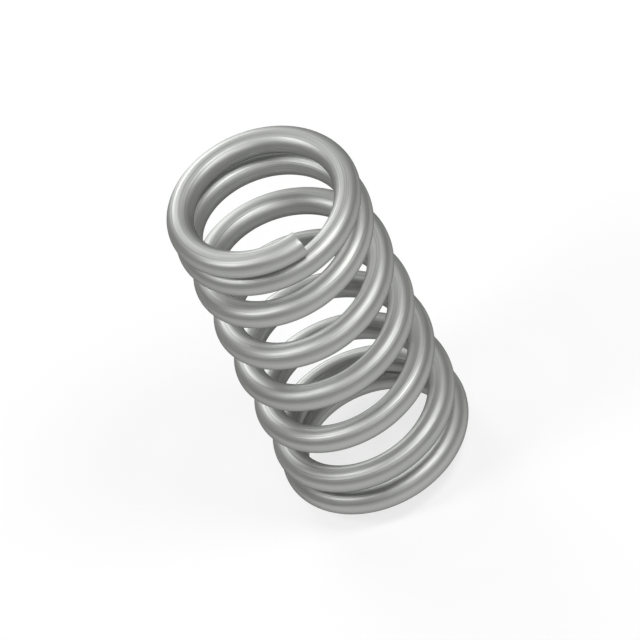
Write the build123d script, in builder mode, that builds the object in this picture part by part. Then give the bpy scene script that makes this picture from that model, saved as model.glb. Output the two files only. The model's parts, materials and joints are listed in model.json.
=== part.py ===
from build123d import *
import math
import os

# A small compression spring, cold coiled from one length of round wire.
# It is wound right-handed, with closed ends that are left unground: the last coil
# at each end lies on its neighbour, and the wire simply stops in a square cut.
# Millimetres. The axis is +Z, the lower cut end is over +X, and the lowest point of
# the wire is at Z = 0.

# Driving dimensions, as a spring is ordered
wire_diameter = 1.6
outside_diameter = 11.6
free_length = 24.9
total_coils = 7.75

# How the pitch runs: closed coils at each end, then a stretch over which the pitch
# opens evenly to that of the working coils
closed_coils = 1.03
opening_coils = 0.96
closed_coil_gap = 0.02

# The centreline is a chain of arcs, each tangent to the one before it
arcs_per_coil = 12

wire_radius = wire_diameter / 2
mean_radius = (outside_diameter - wire_diameter) / 2


def lead_angle(pitch):
    """The slope of the wire where it climbs by one pitch in each coil."""
    return math.atan2(pitch, 2 * math.pi * mean_radius)


closed_pitch = (wire_diameter + closed_coil_gap) / math.cos(lead_angle(wire_diameter))
end_lead = lead_angle(closed_pitch)

# The cut face stands square to the wire, so its lowest point is this far down
end_reach = wire_radius * math.cos(end_lead)
centreline_rise = free_length - 2 * end_reach

# An opening stretch climbs as if half of it were closed and half were working coil
working_coils = total_coils - 2 * closed_coils - opening_coils
working_pitch = closed_pitch + (centreline_rise - closed_pitch * total_coils) / working_coils


def opened_since(start, coils):
    """Coils wound since start, each counted by how far its pitch had opened."""
    beyond = max(coils - start, 0)
    opening = min(beyond, opening_coils)
    return opening**2 / (2 * opening_coils) + beyond - opening


def centre_of_wire(coils):
    """The point on the wire's centreline this many coils from the lower cut end."""
    closing_start = total_coils - closed_coils - opening_coils
    opened = opened_since(closed_coils, coils) - opened_since(closing_start, coils)
    climb = closed_pitch * coils + (working_pitch - closed_pitch) * opened
    angle = 2 * math.pi * coils
    return Vector(
        mean_radius * math.cos(angle),
        mean_radius * math.sin(angle),
        end_reach + climb,
    )


arc_count = math.ceil(total_coils * arcs_per_coil)
arc_ends = [centre_of_wire(total_coils * i / arc_count) for i in range(arc_count + 1)]

# At the lower cut end the wire runs towards +Y and climbs at the closed coil's slope
start_direction = Vector(0, math.cos(end_lead), math.sin(end_lead))

with BuildPart() as spring_wire:
    with BuildLine() as centreline:
        direction = start_direction
        for arc_start, arc_end in zip(arc_ends, arc_ends[1:]):
            arc = TangentArc(arc_start, arc_end, tangent=direction)
            direction = arc % 1
    with BuildSketch(Plane(origin=arc_ends[0], z_dir=start_direction)) as wire_section:
        Circle(wire_radius)
    sweep(path=centreline.wire())

spring_wire.part.label = "spring_wire"

os.makedirs("parts", exist_ok=True)
export_step(spring_wire.part, "parts/spring_wire.step")

wire_length = centreline.wire().length
section_times_length = math.pi * wire_radius**2 * wire_length
print("pitch of the closed coils", round(closed_pitch, 3), "and working coils", round(working_pitch, 3))
print("length of the wire", round(wire_length, 1))
print("volume", round(spring_wire.part.volume, 2), "section times length", round(section_times_length, 2))
print("size", spring_wire.part.bounding_box().size)
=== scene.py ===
# %% [markdown]
# # A small compression spring, dressed for the studio
#
# The object is one length of round steel wire, cold coiled into a spring: a closed coil at
# each end, working coils between them, and two plain cut ends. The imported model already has
# the right size and place, and this script gives it the skin of drawn wire, with the marks
# of the shear on its cut ends, and then sets up the camera, the floor and the light.
#
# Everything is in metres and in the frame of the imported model: the axis of the spring is +Z,
# and the lowest point of the wire is at Z = 0.

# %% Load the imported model, which is the fixed frame
import json
import math
import bpy
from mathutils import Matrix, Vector


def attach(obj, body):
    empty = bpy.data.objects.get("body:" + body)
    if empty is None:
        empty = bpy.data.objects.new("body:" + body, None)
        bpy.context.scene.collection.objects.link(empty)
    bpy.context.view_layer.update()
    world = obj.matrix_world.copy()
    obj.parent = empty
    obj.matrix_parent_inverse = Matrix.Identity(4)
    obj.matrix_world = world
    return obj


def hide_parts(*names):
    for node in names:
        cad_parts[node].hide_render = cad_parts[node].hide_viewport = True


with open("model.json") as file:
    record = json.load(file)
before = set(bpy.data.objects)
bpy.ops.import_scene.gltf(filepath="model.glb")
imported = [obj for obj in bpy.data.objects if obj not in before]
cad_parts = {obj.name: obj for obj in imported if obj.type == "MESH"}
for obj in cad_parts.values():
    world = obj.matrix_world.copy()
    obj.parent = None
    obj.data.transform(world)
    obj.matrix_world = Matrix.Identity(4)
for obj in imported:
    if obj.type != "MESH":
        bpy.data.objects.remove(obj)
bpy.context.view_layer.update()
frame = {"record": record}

MM = 0.001

# %% [markdown]
# ## The sizes of the spring
#
# A spring is ordered by a few sizes. The outside and the inside of the coils are stated in the
# model's record, as the pocket that the spring drops into and the rod that it slides over, so
# the thickness of the wire is the difference of their radii. How many coils there are, and how
# their pitch runs, is repeated here in coils, as the maker would set them on the machine.

# %% Read the sizes from the record, and say how the coils run
interfaces = {mount["name"]: mount["dims"] for mount in frame["record"]["mounts"]}
outside_radius = interfaces["pocket_space"]["r_mm"] * MM
inside_radius = interfaces["guide_rod_space"]["r_mm"] * MM
free_length = interfaces["pocket_space"]["length_mm"] * MM

wire_diameter = outside_radius - inside_radius
wire_radius = wire_diameter / 2
mean_radius = (outside_radius + inside_radius) / 2

total_coils = 7.75
closed_coils = 1.03
opening_coils = 0.96
closed_coil_gap = 0.02 * MM

print("wire", round(wire_diameter / MM, 2), "mm thick")
print("coils", round(mean_radius / MM, 2), "mm in mean radius")

# %% [markdown]
# ## The camera
#
# The camera comes first, because everything after it is judged through it. The picture is a
# parallel projection, in which the far coils are as large as the near ones, so the camera is
# orthographic. It looks down on the spring from the front and a little from the left, and it is
# rolled, so that the spring leans to the left. Its aim is the middle of the spring, which then
# lies in the middle of the picture, with no shift.

# %% Place the camera
camera_azimuth = math.radians(-10.80)
camera_elevation = math.radians(46.14)
camera_roll = math.radians(26.12)
camera_distance = 150 * MM
picture_width = 37.3 * MM

spring_middle = Vector((0, 0, free_length / 2))


def direction_from(azimuth, elevation):
    """A unit vector towards something seen at these angles, where azimuth 0 is the front, -Y."""
    across = math.cos(elevation)
    return Vector((math.sin(azimuth) * across, -math.cos(azimuth) * across, math.sin(elevation)))


towards_camera = direction_from(camera_azimuth, camera_elevation)

camera = bpy.data.objects.new("camera", bpy.data.cameras.new("camera"))
bpy.context.scene.collection.objects.link(camera)
camera.data.type = "ORTHO"
camera.data.ortho_scale = picture_width
camera.data.clip_start = 1 * MM
camera.location = spring_middle + towards_camera * camera_distance
camera.rotation_euler = towards_camera.to_track_quat("Z", "Y").to_euler()
camera.rotation_euler.rotate_axis("Z", -camera_roll)
bpy.context.scene.camera = camera

print("picture", round(picture_width / MM, 1), "mm wide")

# %% [markdown]
# ## The line that the wire follows
#
# The middle of the wire runs round a cylinder of the mean radius, and only its climb changes.
# In the closed coils it climbs by the thickness of the wire and a hair more for each turn.
# Then the pitch opens evenly to that of the working coils, and at the far end it closes again
# in the same way. Adding up how far each turn had opened gives the height at any point, and
# the free length then fixes the pitch of the working coils.

# %% Work out the pitch of the closed and the working coils
def lead_angle(pitch):
    """The slope of the wire where it climbs by one pitch in each coil."""
    return math.atan2(pitch, 2 * math.pi * mean_radius)


closed_pitch = (wire_diameter + closed_coil_gap) / math.cos(lead_angle(wire_diameter))
end_reach = wire_radius * math.cos(lead_angle(closed_pitch))
centreline_rise = free_length - 2 * end_reach
working_coils = total_coils - 2 * closed_coils - opening_coils
working_pitch = closed_pitch + (centreline_rise - closed_pitch * total_coils) / working_coils

print("closed pitch", round(closed_pitch / MM, 3), "mm")
print("working pitch", round(working_pitch / MM, 3), "mm")

# %% Work out where the wire is after so many coils
def opened_since(start, coils):
    """Coils wound since start, each counted by how far its pitch had opened."""
    beyond = max(coils - start, 0)
    opening = min(beyond, opening_coils)
    return opening**2 / (2 * opening_coils) + beyond - opening


def centre_of_wire(coils):
    """The point on the middle of the wire this many coils from the lower cut end."""
    closing_start = total_coils - closed_coils - opening_coils
    opened = opened_since(closed_coils, coils) - opened_since(closing_start, coils)
    climb = closed_pitch * coils + (working_pitch - closed_pitch) * opened
    angle = 2 * math.pi * coils
    return Vector((mean_radius * math.cos(angle), mean_radius * math.sin(angle), end_reach + climb))


rows_per_coil = 96
row_count = round(total_coils * rows_per_coil)
line_points = [centre_of_wire(total_coils * row / row_count) for row in range(row_count + 1)]
wire_length = sum((b - a).length for a, b in zip(line_points, line_points[1:]))

print("the wire is", round(wire_length / MM, 1), "mm long, in", row_count, "rows")

# %% [markdown]
# A curve holds that line. Its twist is set to keep the Z axis up, so that the same side of the
# wire faces the axis of the spring all the way, as it does on a coiling machine.

# %% Draw the coil line
coil_line = bpy.data.objects.new("coil_line", bpy.data.curves.new("coil_line", "CURVE"))
bpy.context.scene.collection.objects.link(coil_line)
coil_line.data.dimensions = "3D"
coil_line.data.twist_mode = "Z_UP"
turns = coil_line.data.splines.new("POLY")
turns.points.add(row_count)
for spline_point, place in zip(turns.points, line_points):
    spline_point.co = (*place, 1)

print("coil line", len(turns.points), "points")

# %% [markdown]
# ## The straight wire
#
# A real spring starts as straight wire, and this one does too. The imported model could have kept
# its own mesh, but its triangles know nothing of the wire's length, and drawn wire is marked
# along its length. So the wire is laid out straight along X, as long as the coil line, worked
# there where along and across are simple, and only then coiled. The side that faces the axis of
# the spring later is +Y, and the outside of the coils is -Y.

# %% Lay out the straight wire
sides_round_wire = 48

bpy.ops.object.select_all(action="DESELECT")
bpy.ops.mesh.primitive_cylinder_add(
    vertices=sides_round_wire,
    radius=wire_radius,
    depth=wire_length,
    location=(wire_length / 2, 0, 0),
    rotation=(0, math.pi / 2, 0),
    calc_uvs=False,
)
wire = bpy.context.object
wire.name = wire.data.name = "coiled_wire"
bpy.ops.object.transform_apply(location=True, rotation=True, scale=True)

print("straight wire", len(wire.data.vertices), "vertices")

# %% Helpers for choosing parts of a mesh
def select_where(piece, kind, wanted):
    """Enter edit mode with only the vertices, edges or faces selected that pass a test."""
    bpy.ops.object.mode_set(mode="EDIT")
    bpy.ops.mesh.select_all(action="DESELECT")
    bpy.ops.mesh.select_mode(type=kind)
    bpy.ops.object.mode_set(mode="OBJECT")
    elements = {
        "VERT": piece.data.vertices,
        "EDGE": piece.data.edges,
        "FACE": piece.data.polygons,
    }
    for element in elements[kind]:
        element.select = wanted(element)
    bpy.ops.object.mode_set(mode="EDIT")


def lengthwise_places(edge):
    """Where the two ends of an edge are along the straight wire."""
    return [wire.data.vertices[index].co.x for index in edge.vertices]


# %% [markdown]
# ## The rims and the mesh of the cut ends
#
# Each end was cut by one stroke of a shear, and its rim is not razor sharp. A small bevel takes
# the edge off. The flat face inside it is one polygon, which could not show any mark, so it is
# taken out and filled again with an even grid.

# %% Round the rims and fill the cut faces with a grid
rim_rounding = 0.03 * MM
rim_rows = 3
grid_span = sides_round_wire // 4
same_place = 0.001 * MM  # points nearer than this lie at the same place
square_to_wire = 0.99  # how much of a face's normal points along the wire on a cut face


def is_cut_face(face):
    """Whether a face looks along the wire."""
    return abs(face.normal.x) > square_to_wire


select_where(wire, "FACE", is_cut_face)
bpy.ops.mesh.bevel(offset=rim_rounding, segments=rim_rows, affect="EDGES")
select_where(wire, "FACE", is_cut_face)
bpy.ops.mesh.delete(type="ONLY_FACE")

for end_x in (0, wire_length):

    def is_round_the_hole(edge):
        """Whether an edge lies at this end of the wire."""
        return all(abs(x - end_x) < same_place for x in lengthwise_places(edge))

    select_where(wire, "EDGE", is_round_the_hole)
    bpy.ops.mesh.fill_grid(span=grid_span)

bpy.ops.mesh.select_all(action="SELECT")
bpy.ops.mesh.normals_make_consistent(inside=False)
bpy.ops.object.mode_set(mode="OBJECT")

print("cut ends", sum(is_cut_face(face) for face in wire.data.polygons), "faces")

# %% [markdown]
# ## Rows along the wire
#
# A straight cylinder cannot bend until it is divided along its length. One subdivision makes at
# most 100 cuts, so the long edges are divided twice: into a few lengths, and each of those into
# the rest of the rows.

# %% Divide the wire into rows
coarse_lengths = 8


def divide_edges(longer_than, pieces):
    """Cut every edge that runs further than this along the wire into equal pieces."""

    def is_long(edge):
        """Whether an edge still has to be divided."""
        start_x, end_x = lengthwise_places(edge)
        return abs(end_x - start_x) > longer_than

    select_where(wire, "EDGE", is_long)
    bpy.ops.mesh.subdivide(number_cuts=pieces - 1)


divide_edges(longer_than=wire_length / 2, pieces=coarse_lengths)
divide_edges(longer_than=wire_length / coarse_lengths / 2, pieces=row_count // coarse_lengths)
bpy.ops.object.mode_set(mode="OBJECT")

print("straight wire", len(wire.data.polygons), "faces")

# %% [markdown]
# ## The marks of the shear
#
# The machine cuts each finished spring off with a blade that comes down from outside the coil
# and shears the wire against the tool inside it. The wire that is cut off is pushed inwards by
# the blade, and what stays behind is the first end of the next spring. So the two ends of a
# spring come from the two sides of one cut. On the lower end the blade drew the outer edge
# over, slid down the face, and left a burr on the inside. On the upper end it is the other way
# round. Moving a few vertices with proportional editing draws the edge over smoothly, and a
# small random move roughens the half of the face that broke instead of being cut.

# %% Helpers for working on a cut end
cut_skin = 0.1 * MM  # how near to the end a vertex counts as part of the cut face


def depth_of_cut(place, rolled_side):
    """How far across the wire the blade had come here, from the edge that is drawn over."""
    return wire_radius - rolled_side * place.y


def select_on_cut(end_x, rolled_side, depths, radii):
    """Select part of a cut end, by shares of the wire's diameter in depth and of its radius."""

    def is_wanted(vertex):
        if abs(vertex.co.x - end_x) > cut_skin:
            return False
        depth = depth_of_cut(vertex.co, rolled_side) / wire_diameter
        radius = math.hypot(vertex.co.y, vertex.co.z) / wire_radius
        return depths[0] < depth < depths[1] and radii[0] <= radius < radii[1]

    select_where(wire, "VERT", is_wanted)


def draw_over(move_along, move_across, reach):
    """Move the selected vertices, and less and less of what lies round them, out to the reach."""
    bpy.ops.transform.translate(
        value=(move_along, move_across, 0),
        use_proportional_edit=True,
        proportional_edit_falloff="SMOOTH",
        proportional_size=reach,
    )


# %% [markdown]
# The parts of a cut end are given as shares, and those that take in an edge of the wire reach a
# tenth past it. The marks are small next to the wire, as a sharp shear leaves them.

# %% Draw the edges over, roughen the breaks and raise the burrs
drawn_over_depths = (-0.1, 0.18)
broken_depths = (0.5, 1.1)
burr_depths = (0.85, 1.1)
whole_face = (0, 1.1)
inside_the_rim = (0, 0.9)
rim_alone = (0.9, 1.1)

edge_back = 0.03 * MM
edge_inwards = 0.01 * MM
edge_reach = 0.15 * MM
break_hollow = 0.04 * MM
break_reach = 0.2 * MM
break_roughness = 0.03 * MM
burr_pull = 0.04 * MM
burr_reach = 0.15 * MM

for end_x, into_wire, rolled_side in ((0, 1, -1), (wire_length, -1, 1)):
    select_on_cut(end_x, rolled_side, drawn_over_depths, whole_face)
    draw_over(into_wire * edge_back, -rolled_side * edge_inwards, edge_reach)

    select_on_cut(end_x, rolled_side, broken_depths, inside_the_rim)
    draw_over(into_wire * break_hollow, 0, break_reach)

    select_on_cut(end_x, rolled_side, broken_depths, inside_the_rim)
    bpy.ops.transform.vertex_random(offset=break_roughness, uniform=1, seed=4)

    select_on_cut(end_x, rolled_side, burr_depths, rim_alone)
    draw_over(-into_wire * burr_pull, 0, burr_reach)
bpy.ops.object.mode_set(mode="OBJECT")

along = [vertex.co.x for vertex in wire.data.vertices]
print("lower burr", round(-min(along) / MM, 3), "mm proud")
print("upper burr", round((max(along) - wire_length) / MM, 3), "mm proud")

# %% [markdown]
# ## What the wire remembers
#
# Drawing the wire through its die left fine lines along it, and these follow the wire round
# every coil. So each point of the mesh stores where it was on the straight wire, in an
# attribute that bends with it, and how deep in the cut it was, in another. The materials read
# them, and the lines run along the wire however it is coiled. The faces of the cut ends get
# the second material slot.

# %% Store each point's place on the straight wire, and sort the faces
drawn_places = wire.data.attributes.new("drawn_place", "FLOAT_VECTOR", "POINT")
for stored, vertex in zip(drawn_places.data, wire.data.vertices):
    stored.vector = vertex.co

cut_depths = wire.data.attributes.new("depth_of_cut", "FLOAT", "POINT")
for stored, vertex in zip(cut_depths.data, wire.data.vertices):
    rolled_side = -1 if vertex.co.x < wire_length / 2 else 1
    stored.value = depth_of_cut(vertex.co, rolled_side)

DRAWN_SKIN, SHEARED_END = range(2)
turned_to_end = 0.6  # how much of a face's normal points along the wire on the sheared steel

for face in wire.data.polygons:
    near_end = min(face.center.x, wire_length - face.center.x) < cut_skin
    sheared_here = near_end and abs(face.normal.x) > turned_to_end
    face.material_index = SHEARED_END if sheared_here else DRAWN_SKIN

sheared_faces = sum(face.material_index == SHEARED_END for face in wire.data.polygons)
print("sheared steel on", sheared_faces, "faces")

# %% [markdown]
# ## A plan of the skin
#
# A UV map says which bit of a flat picture goes where on the wire, so that its finish can be
# painted onto that picture. Unwrapped by itself, a coil falls into many small islands. Cut in
# this way it is simple: one strip for each coil, slit along the side that faces the axis, where
# the slit shows least, and the two cut faces laid in the corner that the last, shorter strip
# leaves free. The strips are as wide as the picture, so that the fine lines of the drawn skin
# get as much of it as they can.

# %% Lay the skin out in strips
strip_count = math.ceil(total_coils)
strip_length = wire_length / total_coils
strip_filling = 0.94  # the share of a strip's height that is used, so that strips keep apart
strip_margin = 0.002  # what stays free at each end of a strip, as a share of the picture

cut_face_size = 0.11  # also a share of the picture
middle_of_last_strip = 1 - 0.5 / strip_count
cut_face_places = ((0.82, middle_of_last_strip), (0.94, middle_of_last_strip))


def turn_round_wire(place):
    """How far round the wire a point is, from -0.5 to 0.5, with 0 on the outside of the coils."""
    return math.atan2(place.z, -place.y) / (2 * math.pi)


skin_plan = wire.data.uv_layers.new(name="OFBake")
for face in wire.data.polygons:
    strip = min(int(face.center.x / strip_length), strip_count - 1)
    corner_u, corner_v = cut_face_places[face.center.x > wire_length / 2]
    for corner in face.loop_indices:
        place = wire.data.vertices[wire.data.loops[corner].vertex_index].co
        if face.material_index == SHEARED_END:
            u = corner_u + cut_face_size * place.y / wire_diameter
            v = corner_v + cut_face_size * place.z / wire_diameter
        else:
            turn = turn_round_wire(place)
            turn += round(turn_round_wire(face.center) - turn)
            u = strip_margin + (1 - 2 * strip_margin) * (place.x / strip_length - strip)
            v = (strip + 0.5 + strip_filling * turn) / strip_count
        skin_plan.uv[corner].vector = (u, v)

for side, name in enumerate(("across", "up")):
    along_side = [corner.vector[side] for corner in skin_plan.uv]
    print("plan of the skin", name, round(min(along_side), 3), "to", round(max(along_side), 3))

# %% [markdown]
# ## Coiling
#
# A Curve modifier takes the straight wire round the coil line, in the way that the coiling
# points of the machine bend it. Applied, it leaves an ordinary mesh, whose place is in its
# points.

# %% Coil the wire and hand it over
sharp_from = math.radians(35)

coiling = wire.modifiers.new("coiling", "CURVE")
coiling.object = coil_line
coiling.deform_axis = "POS_X"
bpy.ops.object.modifier_apply(modifier=coiling.name)
bpy.data.objects.remove(coil_line)
bpy.ops.object.shade_smooth_by_angle(angle=sharp_from)

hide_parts("spring_wire")
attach(wire, "root")

print("coiled wire", len(wire.data.vertices), "vertices")

# %% [markdown]
# ## Two helpers for the materials
#
# Colours are written as hex values, as on a screen, and have to be made linear for the nodes.
# And as every material adds nodes, one function adds a node, sets it and links it.

# %% Helpers for colours and nodes
def from_hex(colour):
    """The linear colour of an sRGB hex value."""
    shares = [int(colour[start:start + 2], 16) / 255 for start in (0, 2, 4)]
    linear = [
        share / 12.92 if share <= 0.04045 else ((share + 0.055) / 1.055) ** 2.4
        for share in shares
    ]
    return (*linear, 1)


def add_node(tree, kind, settings, links):
    """Add a node, with settings by property or input name, and inputs linked from outputs."""
    node = tree.nodes.new(kind)
    for name, value in settings.items():
        if isinstance(name, str) and hasattr(node, name):
            setattr(node, name, value)
        else:
            node.inputs[name].default_value = value
    for name, output in links.items():
        tree.links.new(output, node.inputs[name])
    return node


# %% [markdown]
# ## Drawn spring steel
#
# The real finish is hard drawn carbon steel wire, cold coiled and not plated. The die leaves it
# bright but not polished: a satin grey, with a soft band of light along each coil. Its lines
# are a few hundredths of a millimetre wide, too fine for this picture, so they are drawn
# 0.09 mm wide and 18 mm long, which just shows. The drawing soap leaves faint clouds about
# 1.5 mm across and 5 mm long, and the coiling points rub a brighter track along the outside of
# the coils.

# %% Make the drawn spring steel
steel = bpy.data.materials.new("drawn spring steel")
steel.use_nodes = True
tree = steel.node_tree
shader = tree.nodes["Principled BSDF"]

die_line_width = 0.09 * MM
die_line_length = 18 * MM
cloud_width = 1.5 * MM
cloud_length = 5 * MM

drawn_place = add_node(tree, "ShaderNodeAttribute", {"attribute_name": "drawn_place"}, {})
line_place = add_node(
    tree,
    "ShaderNodeMapping",
    {"Scale": (1 / die_line_length, 1 / die_line_width, 1 / die_line_width)},
    {"Vector": drawn_place.outputs["Vector"]},
)
die_lines = add_node(
    tree,
    "ShaderNodeTexNoise",
    {"Scale": 1, "Detail": 3, "Roughness": 0.6},
    {"Vector": line_place.outputs["Vector"]},
)
cloud_place = add_node(
    tree,
    "ShaderNodeMapping",
    {"Scale": (1 / cloud_length, 1 / cloud_width, 1 / cloud_width)},
    {"Vector": drawn_place.outputs["Vector"]},
)
clouds = add_node(
    tree,
    "ShaderNodeTexNoise",
    {"Scale": 1, "Detail": 2, "Roughness": 0.5},
    {"Vector": cloud_place.outputs["Vector"]},
)

# %% The track that the coiling points rub on the outside of the coils
track_edge = -0.80 * wire_radius
track_middle = -0.97 * wire_radius

across = add_node(tree, "ShaderNodeSeparateXYZ", {}, {"Vector": drawn_place.outputs["Vector"]})
rubbed = add_node(
    tree,
    "ShaderNodeMapRange",
    {
        "interpolation_type": "SMOOTHSTEP",
        "From Min": track_edge,
        "From Max": track_middle,
        "To Min": 0,
        "To Max": 1,
    },
    {"Value": across.outputs["Y"]},
)
rubbed_share = add_node(
    tree,
    "ShaderNodeMath",
    {"operation": "MULTIPLY"},
    {0: rubbed.outputs["Result"], 1: die_lines.outputs["Fac"]},
)

# %% Colour of the drawn skin
line_share = add_node(
    tree,
    "ShaderNodeMapRange",
    {"From Min": 0.46, "From Max": 0.72},
    {"Value": die_lines.outputs["Fac"]},
)
cloud_share = add_node(
    tree,
    "ShaderNodeMapRange",
    {"From Min": 0.42, "From Max": 0.75, "To Max": 0.7},
    {"Value": clouds.outputs["Fac"]},
)
lined_steel = add_node(
    tree,
    "ShaderNodeMix",
    {"data_type": "RGBA", "A": from_hex("AEAFAD"), "B": from_hex("939492")},
    {"Factor": line_share.outputs["Result"]},
)
clouded_steel = add_node(
    tree,
    "ShaderNodeMix",
    {"data_type": "RGBA", "B": from_hex("989996")},
    {"Factor": cloud_share.outputs["Result"], "A": lined_steel.outputs["Result"]},
)
skin_colour = add_node(
    tree,
    "ShaderNodeMix",
    {"data_type": "RGBA", "B": from_hex("BDBEBC")},
    {"Factor": rubbed_share.outputs["Value"], "A": clouded_steel.outputs["Result"]},
)

# %% Roughness and height of the drawn skin
die_line_height = 0.008 * MM

lined_roughness = add_node(
    tree,
    "ShaderNodeMapRange",
    {"From Min": 0.3, "From Max": 0.7, "To Min": 0.46, "To Max": 0.64},
    {"Value": die_lines.outputs["Fac"]},
)
skin_roughness = add_node(
    tree,
    "ShaderNodeMath",
    {"operation": "MULTIPLY_ADD", 1: -0.12},
    {0: rubbed_share.outputs["Value"], 2: lined_roughness.outputs["Result"]},
)
skin_relief = add_node(
    tree,
    "ShaderNodeBump",
    {"Strength": 0.7, "Distance": die_line_height},
    {"Height": die_lines.outputs["Fac"]},
)

# %% [markdown]
# The shader is a plain metal. A polished metal would brighten towards its outline, but the
# lines of drawn wire shade each other there, so the tint of its glancing reflection is dark.

# %% Join them in the shader
shader.inputs["Metallic"].default_value = 1
shader.inputs["Specular Tint"].default_value = from_hex("202020")
tree.links.new(skin_colour.outputs["Result"], shader.inputs["Base Color"])
tree.links.new(skin_roughness.outputs["Value"], shader.inputs["Roughness"])
tree.links.new(skin_relief.outputs["Normal"], shader.inputs["Normal"])

print(steel.name, "has", len(tree.nodes), "nodes")

# %% [markdown]
# ## The sheared ends
#
# A sheared face has two parts. Where the blade slid along it, the steel is burnished, with fine
# strokes in the direction of the cut. Where it broke, it is dull and grainy. The border between
# them is ragged. The grain of a break is about 0.02 mm, and is drawn 0.05 mm wide.

# %% Make the sheared steel
sheared = bpy.data.materials.new("sheared spring steel")
sheared.use_nodes = True
tree = sheared.node_tree
shader = tree.nodes["Principled BSDF"]

grain_width = 0.05 * MM
stroke_width = 0.06 * MM
stroke_length = 0.9 * MM

drawn_place = add_node(tree, "ShaderNodeAttribute", {"attribute_name": "drawn_place"}, {})
grain = add_node(
    tree,
    "ShaderNodeTexNoise",
    {"Scale": 1 / grain_width, "Detail": 3, "Roughness": 0.65},
    {"Vector": drawn_place.outputs["Vector"]},
)
stroke_place = add_node(
    tree,
    "ShaderNodeMapping",
    {"Scale": (1 / stroke_width, 1 / stroke_length, 1 / stroke_width)},
    {"Vector": drawn_place.outputs["Vector"]},
)
strokes = add_node(
    tree,
    "ShaderNodeTexNoise",
    {"Scale": 1, "Detail": 2, "Roughness": 0.5},
    {"Vector": stroke_place.outputs["Vector"]},
)

# %% The ragged border where the cut turns into a break
raggedness = 0.25 * MM
break_starts = 0.52 * wire_diameter
break_is_full = 0.60 * wire_diameter

depth = add_node(tree, "ShaderNodeAttribute", {"attribute_name": "depth_of_cut"}, {})
ragged_depth = add_node(
    tree,
    "ShaderNodeMath",
    {"operation": "MULTIPLY_ADD", 1: raggedness},
    {0: strokes.outputs["Fac"], 2: depth.outputs["Fac"]},
)
broken = add_node(
    tree,
    "ShaderNodeMapRange",
    {"From Min": break_starts, "From Max": break_is_full},
    {"Value": ragged_depth.outputs["Value"]},
)

# %% Colour, roughness and height of the cut
cut_mark_height = 0.022 * MM

grain_colour = add_node(
    tree,
    "ShaderNodeMix",
    {"data_type": "RGBA", "A": from_hex("8A8B89"), "B": from_hex("A2A3A1")},
    {"Factor": grain.outputs["Fac"]},
)
cut_colour = add_node(
    tree,
    "ShaderNodeMix",
    {"data_type": "RGBA", "A": from_hex("C2C3C1")},
    {"Factor": broken.outputs["Result"], "B": grain_colour.outputs["Result"]},
)
cut_roughness = add_node(
    tree,
    "ShaderNodeMapRange",
    {"To Min": 0.34, "To Max": 0.70},
    {"Value": broken.outputs["Result"]},
)
cut_height = add_node(
    tree,
    "ShaderNodeMix",
    {},
    {"Factor": broken.outputs["Result"], "A": strokes.outputs["Fac"], "B": grain.outputs["Fac"]},
)
cut_relief = add_node(
    tree,
    "ShaderNodeBump",
    {"Strength": 0.8, "Distance": cut_mark_height},
    {"Height": cut_height.outputs["Result"]},
)
shader.inputs["Metallic"].default_value = 1
tree.links.new(cut_colour.outputs["Result"], shader.inputs["Base Color"])
tree.links.new(cut_roughness.outputs["Result"], shader.inputs["Roughness"])
tree.links.new(cut_relief.outputs["Normal"], shader.inputs["Normal"])

print(sheared.name, "has", len(tree.nodes), "nodes")

# %% Put both finishes on the wire
for finish in (steel, sheared):
    wire.data.materials.append(finish)
print("finishes", [finish.name for finish in wire.data.materials])

# %% [markdown]
# ## The floor
#
# The spring stands on plain white paper that turns up at its far edge, so that it fills the
# picture from any low side too. It starts as a flat cylinder: its top is taken off, and a wide
# bevel makes the turn between its bottom and its side.

# %% Lay out the paper
paper_radius = 400 * MM
paper_sides = 128
paper_rim = 40 * MM
paper_turn = 0.9 * paper_rim
turn_rows = 8
level = 0.9  # how much of a face's normal points up or down on a level face


def is_top(face):
    """Whether a face looks up."""
    return face.normal.z > level


def is_bottom(face):
    """Whether a face looks down."""
    return face.normal.z < -level


bpy.ops.object.select_all(action="DESELECT")
bpy.ops.mesh.primitive_cylinder_add(
    vertices=paper_sides,
    radius=paper_radius,
    depth=paper_rim,
    location=(0, 0, paper_rim / 2),
)
floor = bpy.context.object
floor.name = floor.data.name = "floor"
bpy.ops.object.transform_apply(location=True, rotation=True, scale=True)

select_where(floor, "FACE", is_top)
bpy.ops.mesh.delete(type="FACE")
select_where(floor, "FACE", is_bottom)
bpy.ops.mesh.bevel(offset=paper_turn, segments=turn_rows, affect="EDGES")
bpy.ops.mesh.select_all(action="SELECT")
bpy.ops.mesh.flip_normals()
bpy.ops.object.mode_set(mode="OBJECT")
bpy.ops.object.shade_smooth()

print("paper", len(floor.data.polygons), "faces")

# %% [markdown]
# To show white without more light on the object, the paper glows a little to whatever sees it:
# the camera, and metal or glass that reflects it. To the light that lands on it, the paper is a
# mid grey, so it keeps a faint shadow and throws little back.

# %% Make the white paper
paper = bpy.data.materials.new("white paper")
paper.use_nodes = True
tree = paper.node_tree
shader = tree.nodes["Principled BSDF"]

paper_glow = 0.743

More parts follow.
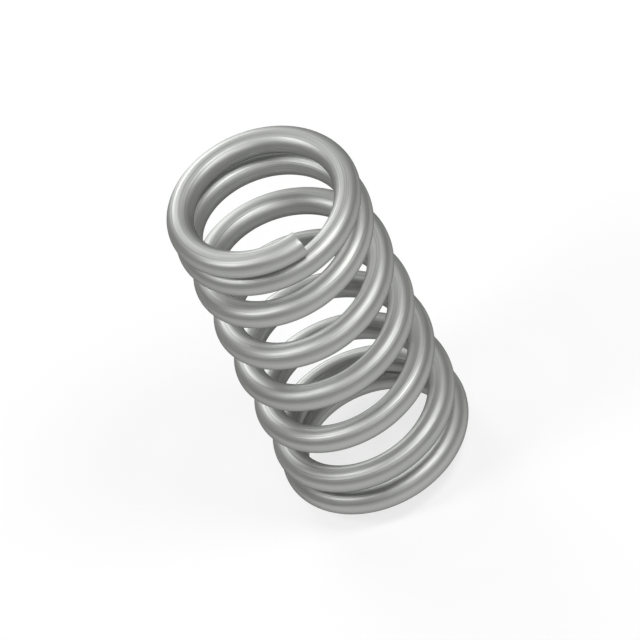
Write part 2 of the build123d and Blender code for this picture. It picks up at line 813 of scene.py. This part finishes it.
path = add_node(tree, "ShaderNodeLightPath", {}, {})
seen_or_reflected = add_node(
    tree,
    "ShaderNodeMath",
    {"operation": "MAXIMUM"},
    {0: path.outputs["Is Camera Ray"], 1: path.outputs["Is Glossy Ray"]},
)
seen_at_all = add_node(
    tree,
    "ShaderNodeMath",
    {"operation": "MAXIMUM"},
    {0: seen_or_reflected.outputs["Value"], 1: path.outputs["Is Transmission Ray"]},
)
glow = add_node(
    tree,
    "ShaderNodeMath",
    {"operation": "MULTIPLY", 1: paper_glow},
    {0: seen_at_all.outputs["Value"]},
)
shader.inputs["Base Color"].default_value = from_hex("767676")
shader.inputs["Roughness"].default_value = 1
shader.inputs["Specular IOR Level"].default_value = 0
shader.inputs["Emission Color"].default_value = from_hex("FFFFFF")
tree.links.new(glow.outputs["Value"], shader.inputs["Emission Strength"])
floor.data.materials.append(paper)

print(paper.name, "glows at", paper_glow)

# %% [markdown]
# ## The light
#
# Six soft round lamps stand round the spring at one distance, as in a small product studio. On
# satin wire each lamp shows as a band of light along the coils. The main lamp, from the right
# front, draws the band along the top of each coil. The left lamp carries it round the near left
# side, and the right back lamp round the far right. Behind the spring, a low lamp draws the
# bright line on the inside of the far coils, and a high one softens it. The front lamp stands
# next to the camera and lifts the middle of the wire. A very dim world keeps the darkest parts
# from going black.

# %% Hang the lamps
lamp_distance = 150 * MM

for name, azimuth, elevation, diameter, watts in (
    ("main lamp", 41.7, 59.4, 50 * MM, 0.153),
    ("left lamp", -95.2, 54.1, 50 * MM, 0.115),
    ("low back lamp", 177.2, 17.0, 80 * MM, 0.137),
    ("high back lamp", 177.2, 45.0, 120 * MM, 0.045),
    ("right back lamp", 120.0, 40.0, 100 * MM, 0.028),
    ("front lamp", -10.0, 46.0, 60 * MM, 0.050),
):
    lamp = bpy.data.objects.new(name, bpy.data.lights.new(name, "AREA"))
    bpy.context.scene.collection.objects.link(lamp)
    lamp.data.shape = "DISK"
    lamp.data.size = diameter
    lamp.data.energy = watts
    lamp.visible_camera = False
    towards_lamp = direction_from(math.radians(azimuth), math.radians(elevation))
    lamp.location = spring_middle + towards_lamp * lamp_distance
    lamp.rotation_euler = towards_lamp.to_track_quat("Z", "Y").to_euler()
    print(name, watts, "W")

# %% Light the world, and show colours as they are
world_strength = 0.05

world = bpy.data.worlds.new("studio")
bpy.context.scene.world = world
world.use_nodes = True
sky = world.node_tree.nodes["Background"]
sky.inputs["Color"].default_value = from_hex("FFFFFF")
sky.inputs["Strength"].default_value = world_strength

bpy.context.scene.view_settings.view_transform = "Standard"
